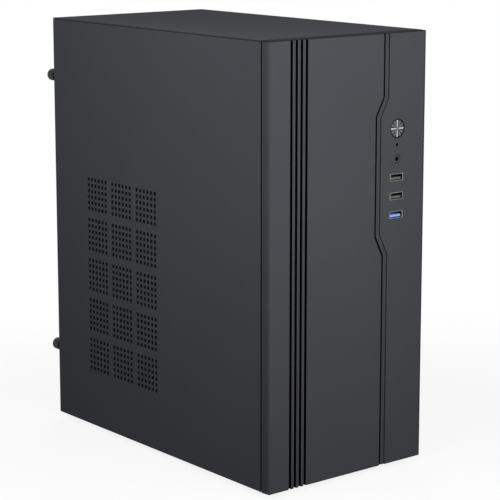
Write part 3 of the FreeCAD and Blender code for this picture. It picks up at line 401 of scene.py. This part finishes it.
# Small circuit board behind the sockets: green laminate with copper tracks under its lacquer.
# It is screwed to two posts of the front panel and carries the switch, the light and the sockets.

TRACK_GREEN = (0.03, 0.16, 0.06, 1)
LACQUER_GREEN = (0.008, 0.07, 0.03, 1)
laminate, tree, shader, place = blank("green_laminate", Roughness=0.35)
cells = wire(tree, "ShaderNodeTexVoronoi", {"feature": "DISTANCE_TO_EDGE", "distance": "MANHATTAN"},
             Vector=place, Scale=190.0)
bare = ramp(tree, cells.outputs[0], 0.05, 0.09)
tree.links.new(mixed(tree, bare, TRACK_GREEN, LACQUER_GREEN), shader.inputs["Base Color"])
raised = work(tree, "SUBTRACT", 1, bare)
bump = wire(tree, "ShaderNodeBump", Strength=0.4, Distance=0.03 * MM, Height=raised)
tree.links.new(bump.outputs[0], shader.inputs["Normal"])
dress("io_board", laminate)


# Screws of the small board: two zinc plated screws with a cross recess, driven from behind
# into the panel's posts.

PORT_LINE = 50.45
low_post, high_post = 203.0, 291.0
board_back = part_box("io_board")[1][1]
board_screws = skin("io_screws_turned", [
    screw_rings((PORT_LINE * MM, board_back, height * MM), (0, 1, 0), (1.2, 5.8, 2.4, 2.5, 2.0))
    for height in (low_post, high_post)])
soft_shading(board_screws, 30)
finish(board_screws, "chassis", "zinc_steel", ZINC, "io_screws")


# Box headers: two black plastic shrouds soldered to the back of the small board. Each stands
# round two rows of square gilt pins.

def bars(name, boxes):
    """Straight bars along Y with tapered tips, from (low corner, high corner) in millimetres. Each is
    four oblong rings: the first and the last are 0.6 times as wide and tall as the two between them,
    and lie a quarter of the bar's thickness further out."""
    solids = []
    for low, high in boxes:
        low, high = np.array(low) * MM, np.array(high) * MM
        middle, half = (low + high) / 2, (high - low) / 2
        corners = np.array([(-1, 0, -1), (1, 0, -1), (1, 0, 1), (-1, 0, 1)]) * half
        rings = corners[None] * np.array((0.6, 1, 1, 0.6))[:, None, None]
        tip = min(half[0], half[2]) * 0.5
        rings[:, :, 1] = np.array((-half[1], tip - half[1], half[1] - tip, half[1]))[:, None]
        solids.append(middle + rings)
    return skin(name, solids)


GILT = plated("gilt_contacts", (0.83, 0.60, 0.24), 0.22, 0.2 * MM, 0.004 * MM)
MOULDED_BLACK = (0.011, 0.011, 0.012)
clad("io_headers", "header_black", MOULDED_BLACK, 0.5, 0.2 * MM, 0.01 * MM)
pin_pitch, pin_half = 2.54, 0.32
pin_root, pin_tip = -134.4, -128.2
header_heights = (214.3, 253.2)
pin_rows = []
for middle in header_heights:
    for column in range(-3, 4):
        for row in (-0.5, 0.5):
            across, height = PORT_LINE + column * pin_pitch, middle + row * pin_pitch
            pin_rows.append(((across - pin_half, pin_root, height - pin_half),
                             (across + pin_half, pin_tip, height + pin_half)))
finish(bars("header_pins", pin_rows), "chassis", "standoff_brass", GILT)


# Push switch: a black plastic block soldered to the small board, with a white plunger that the
# power button presses.

clad("power_switch", "switch_black", MOULDED_BLACK, 0.45, 0.2 * MM, 0.01 * MM)
clad("switch_plunger", "plunger_white", (0.62, 0.62, 0.60), 0.4, 0.2 * MM, 0.006 * MM, worn=1.05)


# USB sockets: folded and plated steel shells pushed into the panel. A moulded tongue stands in the
# lower half of each mouth and carries four gilt contacts; the lowest tongue is blue.

SHELL = plated("plated_shell", (0.37, 0.372, 0.38), 0.3, 0.3 * MM, 0.004 * MM, (1, 0.2, 1))
MOUTH_SHADE = (0.03, 0.03, 0.03, 1)
tree = SHELL.node_tree
shader = tree.nodes["Principled BSDF"]
metal_colour = shader.inputs["Base Color"].links[0].from_socket
# Past the shell's front edge, the inside of the mouth is painted dark as shade.
deep = axes(tree, wire(tree, "ShaderNodeTexCoord").outputs["Object"])[1]
shell_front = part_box("usb_shell_1")[0][1]
inner = ramp(tree, deep, shell_front + 0.1 * MM, shell_front + 0.5 * MM)
tree.links.new(mixed(tree, inner, metal_colour, MOUTH_SHADE), shader.inputs["Base Color"])
TONGUE_GREY = (0.088, 0.090, 0.095)
TONGUE_BLUE = (0.24, 0.38, 0.95)
low_socket, socket_pitch = 209.0, 15.0
contact_tip, contact_root, contact_half = -147.6, -141.5, 0.5
contact_places, contact_low, contact_high = (-3.5, -1.0, 1.0, 3.5), -0.15, -0.02
contact_rows = []
for number, colour in ((1, TONGUE_GREY), (2, TONGUE_GREY), (3, TONGUE_BLUE)):
    dress(f"usb_shell_{number}", SHELL)
    rounded(f"usb_shell_{number}", 0.12 * MM)
    tongue = f"usb_tongue_{number}"
    clad(tongue, f"{tongue}_moulded", colour, 0.35, 0.3 * MM, 0.004 * MM, worn=1.15)
    rounded(tongue, 0.12 * MM)
    middle = low_socket + socket_pitch * (3 - number)
    for across in contact_places:
        contact_rows.append(((PORT_LINE + across - contact_half, contact_tip, middle + contact_low),
                             (PORT_LINE + across + contact_half, contact_root, middle + contact_high)))
finish(bars("usb_contacts", contact_rows), "chassis", "standoff_brass", GILT)


# Headset socket: a moulded barrel whose round grey nose lies level with the panel. A dark ring of
# painted shade lies round the nose where it comes through the hole, and its bore is painted black
# as shade.

def round_line(tree, place, centre):
    """The way from a centre, in three parts, and the distance from the line along Y through it."""
    way = axes(tree, way_between(tree, place, centre))
    flat = wire(tree, "ShaderNodeCombineXYZ", X=way[0], Z=way[2]).outputs[0]
    return way, wire(tree, "ShaderNodeVectorMath", {"operation": "LENGTH"}, i0=flat).outputs["Value"]


JACK_HEIGHT = 253.7
nose_radius, bore_radius = 2.8 * MM, 1.95 * MM
NOSE_GREY = (0.085, 0.086, 0.091)
GAP_SHADE_BLACK = (0.004, 0.004, 0.004, 1)
jack, tree, shader, place, nose_colour = coated("jack_grey", NOSE_GREY, 0.6, 0.2 * MM, 0.006 * MM,
                                                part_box("audio_jack"), worn=1.0, specular=0.1)
_, off = round_line(tree, place, (PORT_LINE * MM, 0, JACK_HEIGHT * MM))
moat = ramp(tree, off, nose_radius, nose_radius + 0.15 * MM)
bore = ramp(tree, off, bore_radius + 0.15 * MM, bore_radius)
tree.links.new(mixed(tree, work(tree, "MAXIMUM", moat, bore), nose_colour, GAP_SHADE_BLACK),
               shader.inputs["Base Color"])
dress("audio_jack", jack)


# Light: a rod of smoked clear plastic, pushed into the panel from behind. It leads from the lamp
# on the small board to a pinhole in the panel, and looks black while the lamp is off.

SMOKE_DARK = (0.001, 0.001, 0.0012, 1)
SMOKE_PALE = (0.003, 0.003, 0.0035, 1)
lens, tree, shader, place = blank("smoked_lens_dark", Roughness=0.35, Specular_IOR_Level=0.03)
grain = placed(tree, FINE_GRAIN, Place=place, Size=0.2 * MM)
tree.links.new(mixed(tree, grain["Patch"], SMOKE_DARK, SMOKE_PALE), shader.inputs["Base Color"])
dress("led_lens", lens)


# Power button: an aluminium cap, turned and then brushed outwards from the middle. A bright cross
# and softer rays are painted on its face as a reflection. Its rim is cut with a ring that is painted
# dark as shade, and two lugs hold it in the panel.

BUTTON_HEIGHT = 277.9
RAY_HIGHLIGHT_GREY = (0.47, 0.47, 0.48, 1)
BETWEEN_RAYS_GREY = (0.028, 0.029, 0.031, 1)
CHAMFER_SHADE = (0.02, 0.02, 0.022, 1)
RING_GROOVE_SHADE = (0.012, 0.012, 0.013, 1)
button_low, button_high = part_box("power_button_cap")
button_centre = (PORT_LINE * MM, button_low[1], BUTTON_HEIGHT * MM)
ray_painted_cap, tree, shader, place = blank("aluminium_painted_rays", Metallic=1.0, Anisotropic=0.7)
way, radius = round_line(tree, place, button_centre)

# A painted reflection: the cross's arms widen outwards, two faint rays stand between each pair, and
# brushed streaks run over all.
turn = work(tree, "ARCTAN2", way[2], way[0])
aside = work(tree, "MINIMUM", work(tree, "ABSOLUTE", way[0]), work(tree, "ABSOLUTE", way[2]))
arm_width = work(tree, "ADD", 0.25 * MM, work(tree, "MULTIPLY", radius, 0.07))
outwards = work(tree, "MULTIPLY", ramp(tree, radius, 0.5 * MM, 2.5 * MM), 0.55)
cross = work(tree, "MULTIPLY", ramp(tree, work(tree, "DIVIDE", aside, arm_width), 1.35, 0.65),
             work(tree, "ADD", 0.45, outwards))
twelve = work(tree, "ABSOLUTE", work(tree, "COSINE", work(tree, "MULTIPLY", turn, 6.0)))
painted_soft_rays = work(tree, "MULTIPLY", work(tree, "POWER", twelve, 2.0), 0.26)
lines = wire(tree, "ShaderNodeTexNoise", {"noise_dimensions": "1D"}, W=work(tree, "MULTIPLY", turn, 42.0),
             Detail=3.0).outputs[0]
brushed = work(tree, "MULTIPLY", work(tree, "SUBTRACT", lines, 0.5), 0.12)
streaky = work(tree, "ADD", work(tree, "MAXIMUM", cross, painted_soft_rays), brushed)
painted_reflection = mixed(tree, streaky, BETWEEN_RAYS_GREY, RAY_HIGHLIGHT_GREY)

# The ring's groove is painted black and the chamfer past it darker, both as shade.
ring_start, ring_end, ring_blur = 6.5 * MM, 7.15 * MM, 0.15 * MM
past_ring = ramp(tree, radius, ring_end - ring_blur, ring_end)
in_ring = work(tree, "MULTIPLY", ramp(tree, radius, ring_start, ring_start + ring_blur),
               ramp(tree, radius, ring_end, ring_end - ring_blur))
face_colour = mixed(tree, past_ring, painted_reflection, CHAMFER_SHADE)
tree.links.new(mixed(tree, in_ring, face_colour, RING_GROOVE_SHADE), shader.inputs["Base Color"])
tree.links.new(work(tree, "ADD", 0.24, work(tree, "MULTIPLY", lines, 0.14)), shader.inputs["Roughness"])
bump = wire(tree, "ShaderNodeBump", Strength=0.3, Distance=0.01 * MM, Height=lines)
tree.links.new(bump.outputs[0], shader.inputs["Normal"])
CAP = [(2.0, 4.4, 0), (7.65, 3.3, 0), (7.65, 0.45, 0), (7.5, 0.2, 0), (7.2, 0.06, 0), (6.95, 0.06, 0),
       (6.85, 0.2, 0), (6.7, 0.2, 0), (6.6, 0.08, 0), (4.5, 0.05, 0), (2.0, 0.02, 0), (0.4, 0.0, 0)]


def block(half_wide, half_tall, start, end):
    """A straight block behind the button's face: two oblong rings of the given half sizes, from start
    to end behind the face, in millimetres."""
    corners = ((-half_wide, -half_tall), (half_wide, -half_tall), (half_wide, half_tall),
               (-half_wide, half_tall))
    rings = [[(across, along, height) for across, height in corners] for along in (start, end)]
    return np.array(rings) * MM + np.array(button_centre)


cap = turned(CAP, button_centre, (0, 1, 0), 72)
lugs = block(8.55, 2.5, 3.31, 4.5)
stem = block(2, 2, CAP[0][1], (button_high[1] - button_centre[1]) / MM)
power_button = skin("power_button_turned", [cap, lugs, stem])
soft_shading(power_button, 30)
finish(power_button, "power_button", "button_metal", ray_painted_cap, "power_button_cap")


# Front panel: one plastic moulding with a fine matt grey coat. Four deep grooves run down its left,
# and a stepped channel beside the controls has a deeper slit; these, and its rims, carry painted shade.

def slope(tree, value, low, high):
    """0 below low, 1 above high and straight between."""
    return wire(tree, "ShaderNodeMapRange", Value=value, From_Min=low, From_Max=high).outputs[0]


PANEL_GREY = (0.0580, 0.0597, 0.0672)
SHADE_BLACK = (0.0015, 0.0015, 0.0017, 1)
panel_low, panel_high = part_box("front_panel")
coat, tree, shader, place, coat_colour = coated("front_grey_coat", PANEL_GREY, 0.78, 0.45 * MM, 0.02 * MM,
                                                (panel_low, panel_high), worn=1.05, width=0.4 * MM,
                                                specular=0.05)
at = axes(tree, place)
sunk = work(tree, "SUBTRACT", at[1], panel_low[1])

# Inside the outer walls, painted shade darkens the channel's walls and a little of its floor, and
# turns the grooves and everything past the channel's floor black.
CHANNEL_DEPTH = 1.2 * MM
above_floor, at_floor = CHANNEL_DEPTH - 0.1 * MM, CHANNEL_DEPTH - 0.01 * MM
channel_floor = ramp(tree, sunk, above_floor, at_floor)
channel_wall = work(tree, "MULTIPLY", ramp(tree, sunk, 0.05 * MM, 0.15 * MM),
                    ramp(tree, sunk, at_floor, above_floor))
right_of_grooves = -40 * MM
in_groove = work(tree, "MULTIPLY", work(tree, "LESS_THAN", at[0], right_of_grooves),
                 ramp(tree, sunk, 0.05 * MM, 0.2 * MM))
past_floor = work(tree, "MAXIMUM", in_groove,
                  ramp(tree, sunk, CHANNEL_DEPTH + 0.02 * MM, CHANNEL_DEPTH + 0.15 * MM))
between_sides = work(tree, "LESS_THAN", work(tree, "ABSOLUTE", at[0]), panel_high[0] - 1.0 * MM)
between_ends = work(tree, "MULTIPLY", work(tree, "LESS_THAN", at[2], panel_high[2] - 0.75 * MM),
                    work(tree, "GREATER_THAN", at[2], panel_low[2] + 0.5 * MM))
within = work(tree, "MULTIPLY", between_sides, between_ends)

# Painted shade: the outer rim, the channel's right lip and the left flank are darker than the face.
right_rim = ramp(tree, at[0], panel_high[0] - 1.9 * MM, panel_high[0] - 1.5 * MM)
bottom_rim = ramp(tree, at[2], panel_low[2] + 1.3 * MM, panel_low[2] + 0.8 * MM)
top_rim = ramp(tree, at[2], panel_high[2] - 1.3 * MM, panel_high[2] - 0.5 * MM)
JOG_WIDTH = 8 * MM
LOW_JOG = (177 * MM, 193 * MM)
HIGH_JOG = (289 * MM, 304 * MM)
jog = work(tree, "SUBTRACT", slope(tree, at[2], *LOW_JOG), slope(tree, at[2], *HIGH_JOG))
from_channel = work(tree, "ADD", at[0], work(tree, "MULTIPLY", jog, JOG_WIDTH))
lip_start, lip_end = 34.75 * MM, 36 * MM
on_lip = work(tree, "MULTIPLY", ramp(tree, from_channel, lip_start, lip_start + 0.3 * MM),
              work(tree, "LESS_THAN", from_channel, lip_end))
lip = work(tree, "MULTIPLY", on_lip, work(tree, "LESS_THAN", sunk, 0.1 * MM))
flank = work(tree, "MULTIPLY", work(tree, "LESS_THAN", at[0], panel_low[0] + 0.2 * MM),
             ramp(tree, sunk, 0.2 * MM, 0.5 * MM))

rim = work(tree, "MAXIMUM", right_rim, bottom_rim)
inner_wall, inner_floor, inner_depth = [work(tree, "MULTIPLY", within, mask)
                                        for mask in (channel_wall, channel_floor, past_floor)]
# Each mask moves the coat towards black by its share: painted shade.
tone = coat_colour
for mask, share in ((rim, 0.35), (top_rim, 0.82), (lip, 0.85), (flank, 0.22), (inner_wall, 0.5),
                    (inner_floor, 0.05), (inner_depth, 1.0)):
    tone = mixed(tree, work(tree, "MULTIPLY", mask, share), tone, SHADE_BLACK)
tree.links.new(tone, shader.inputs["Base Color"])
dress("front_panel", coat)


# Side panels and top cover: steel sheet, folded over the rails and powder coated in dark grey.
# The left panel is punched with fifteen groups of square vent holes; the right one is plain.
# The front cut edges, and everything behind the side panels' outer faces such as the walls of the
# punched holes, are painted dark as shade.

SHEET_GREY = (0.0564, 0.0582, 0.0660)
SHEET_FACE = 80.25 * MM
for node in ("left_side_panel", "right_side_panel", "top_cover"):
    low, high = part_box(node)
    powder, tree, shader, place, powder_colour = coated(f"{node}_powder", SHEET_GREY, 0.78, 0.5 * MM,
                                                        0.02 * MM, (low, high), worn=1.08, width=0.5 * MM,
                                                        specular=0.05)
    at = axes(tree, place)
    front_cut = ramp(tree, at[1], low[1] + 0.5 * MM, low[1] + 0.3 * MM)
    if node == "top_cover":
        edge_and_hole_shade = work(tree, "MULTIPLY", front_cut, 0.7)
    else:
        from_middle = work(tree, "ABSOLUTE", at[0])
        behind_face = ramp(tree, from_middle, SHEET_FACE - 0.08 * MM, SHEET_FACE - 0.2 * MM)
        before_fold = work(tree, "LESS_THAN", at[1], high[1] - 3 * MM)
        pierced = work(tree, "MULTIPLY", behind_face, before_fold)
        edge_and_hole_shade = work(tree, "MAXIMUM", work(tree, "MULTIPLY", front_cut, 0.85),
                        work(tree, "MULTIPLY", pierced, 0.7))
    tree.links.new(mixed(tree, edge_and_hole_shade, powder_colour, SHADE_BLACK), shader.inputs["Base Color"])
    dress(node, powder)
rounded("right_side_panel", 0.2 * MM)
rounded("top_cover", 0.2 * MM)


# Vent backing: a thin near-black sheet behind the vent holes, put there as painted shade for the
# inside of the case, so nothing shows through them. Its face has a fine fibre texture.

SHADE_SHEET_DARK = (0.001, 0.001, 0.001, 1)
SHADE_SHEET_PALE = (0.004, 0.004, 0.0042, 1)
shade_felt, tree, shader, place = blank("vent_shade_felt", Roughness=0.95, Specular_IOR_Level=0.1)
fibres = wire(tree, "ShaderNodeTexNoise", Vector=place, Scale=900.0, Detail=3.0,
              Distortion=2.5).outputs[0]
tree.links.new(mixed(tree, fibres, SHADE_SHEET_DARK, SHADE_SHEET_PALE), shader.inputs["Base Color"])
bump = wire(tree, "ShaderNodeBump", Strength=0.6, Distance=0.05 * MM, Height=fibres)
tree.links.new(bump.outputs[0], shader.inputs["Normal"])
dress("vent_filter", shade_felt)


# Thumbscrews: black plastic heads moulded round steel screws, knurled for the fingers and hollowed
# at the end. They stay captive in the side panels' rear folds and screw into the rear wall.

def knurl(angle):
    """The size of cos(12 t) to the power 0.7, less 0.5: a rounded ridge 24 times round, from -0.5 in
    the valleys to 0.5 on the crests."""
    return np.abs(np.cos(angle * 12)) ** 0.7 - 0.5


KNOB_BLACK = (0.012, 0.012, 0.013)
fold_line, low_knob, high_knob = 75.25, 64.0, 304.0
for side, across in (("left", -fold_line), ("right", fold_line)):
    for level, height in (("low", low_knob), ("high", high_knob)):
        node = f"thumbscrew_{side}_{level}"
        low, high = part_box(node)
        length = (high[1] - low[1]) / MM
        thread = [(1.72 if index % 2 else 1.5, 0.5 + 0.32 * index, 0) for index in range(13)]
        collar = [(1.6, 4.75, 0), (3.5, 4.95, 0), (3.5, 7.6, 0)]
        knob = [(4.5, 7.7, 0.02), (4.95, 8.2, 0.09), (4.95, length - 1.0, 0.09),
                (4.6, length - 0.2, 0.03), (4.2, length, 0), (2.9, length, 0), (2.7, length - 0.5, 0),
                (0.6, length - 0.5, 0)]
        rings = turned([(1.2, 0.0, 0)] + thread + collar + knob, (across * MM, low[1], height * MM),
                       (0, 1, 0), 96, knurl)
        screw = skin(f"{node}_knurled", [rings])
        soft_shading(screw, 40)
        black = coated(f"{node}_moulded", KNOB_BLACK, 0.5, 0.3 * MM, 0.01 * MM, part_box(node), worn=1.6)[0]
        finish(screw, f"{side}_{level}_screw", "black_plastic", black, node)


# Floor and light: a pale floor in an even studio. Three soft boxes light the front and the left
# side, and a smaller one the back. What the camera and the metal see beyond the floor is white.

def looked_at(tree):
    """1 for what the camera sees by itself, in a gloss or through something clear, and 0 for light
    that falls."""
    path = wire(tree, "ShaderNodeLightPath").outputs
    indirect = work(tree, "MAXIMUM", path["Is Glossy Ray"], path["Is Transmission Ray"])
    return work(tree, "MAXIMUM", path["Is Camera Ray"], indirect)


FLOOR_SEEN = (0.95, 0.95, 0.95, 1)
FLOOR_LIT = (0.05, 0.05, 0.05, 1)
floor_reach = 6.0
floor_corners = [(across * floor_reach, along * floor_reach, 0)
                 for across, along in ((-1, -1), (1, -1), (1, 1), (-1, 1))]
floor_mesh = bpy.data.meshes.new("studio_floor")
floor_mesh.from_pydata(floor_corners, [], [(0, 1, 2, 3)])
floor = bpy.data.objects.new("studio_floor", floor_mesh)
bpy.context.scene.collection.objects.link(floor)
pale, tree, shader, place = blank("pale_floor", Roughness=0.9, Specular_IOR_Level=0.1)
seen = looked_at(tree)
tree.links.new(mixed(tree, seen, FLOOR_LIT, FLOOR_SEEN), shader.inputs["Base Color"])

# The floor that is seen is mostly plain white, so close to the case only a faint shadow is left.
away = wire(tree, "ShaderNodeVectorMath", {"operation": "LENGTH"}, i0=place).outputs["Value"]
near_share = 0.86
faded = work(tree, "MULTIPLY", ramp(tree, away, 0.2, 0.6), 1 - near_share)
white_share = work(tree, "MULTIPLY", seen, work(tree, "ADD", near_share, faded))
white = wire(tree, "ShaderNodeEmission", Color=(1, 1, 1, 1), Strength=1.0)
blend = wire(tree, "ShaderNodeMixShader", i0=white_share, i1=shader.outputs[0], i2=white.outputs[0])
tree.links.new(blend.outputs[0], tree.nodes["Material Output"].inputs["Surface"])
floor_mesh.materials.append(pale)

world = bpy.data.worlds.new("studio")
bpy.context.scene.world = world
world.use_nodes = True
tree = world.node_tree
AMBIENT = 0.035
strength = work(tree, "ADD", AMBIENT, work(tree, "MULTIPLY", looked_at(tree), 1 - AMBIENT))
background = tree.nodes["Background"]
background.inputs["Color"].default_value = (1, 1, 1, 1)
tree.links.new(strength, background.inputs["Strength"])


def soft_box(name, place, target, wide, tall, power):
    """A rectangular lamp at a place, turned to its target."""
    lamp = bpy.data.lights.new(name, "AREA")
    lamp.shape, lamp.size, lamp.size_y, lamp.energy = "RECTANGLE", wide, tall, power
    holder = bpy.data.objects.new(name, lamp)
    holder.location = place
    holder.rotation_mode = "QUATERNION"
    holder.rotation_quaternion = (Vector(target) - Vector(place)).to_track_quat("-Z", "Y")
    bpy.context.scene.collection.objects.link(holder)


CASE_MIDDLE = (0, 0, 0.18)
soft_box("front_box", (-0.07, -0.47, 0.38), CASE_MIDDLE, 0.5, 0.5, 1.85)
soft_box("left_box", (-0.46, -0.09, 0.46), CASE_MIDDLE, 0.5, 0.5, 2.15)
soft_box("far_box", (0, -0.9, 0.35), CASE_MIDDLE, 0.5, 0.5, 1.7)
soft_box("rear_box", (0.42, 0.55, 0.2), CASE_MIDDLE, 0.4, 0.3, 3.2)


# Camera: it stands to the left of the front and a little above the case, as far off as the picture's
# perspective says, with a long lens.

AZIMUTH, ELEVATION, DISTANCE = math.radians(-38.959), math.radians(10.337), 1.5548
AIM = (19.24, -5.5, 195.53)
back = Vector((math.sin(AZIMUTH) * math.cos(ELEVATION), -math.cos(AZIMUTH) * math.cos(ELEVATION),
               math.sin(ELEVATION)))
lens_data = bpy.data.cameras.new("camera")
lens_data.lens, lens_data.sensor_width, lens_data.shift_y = 132.39, 36, -0.08
camera = bpy.data.objects.new("camera", lens_data)
camera.location = Vector(AIM) * MM + back * DISTANCE
camera.rotation_mode = "QUATERNION"
camera.rotation_quaternion = (-back).to_track_quat("-Z", "Y")
bpy.context.scene.collection.objects.link(camera)
bpy.context.scene.camera = camera
bpy.context.scene.view_settings.view_transform = "Standard"
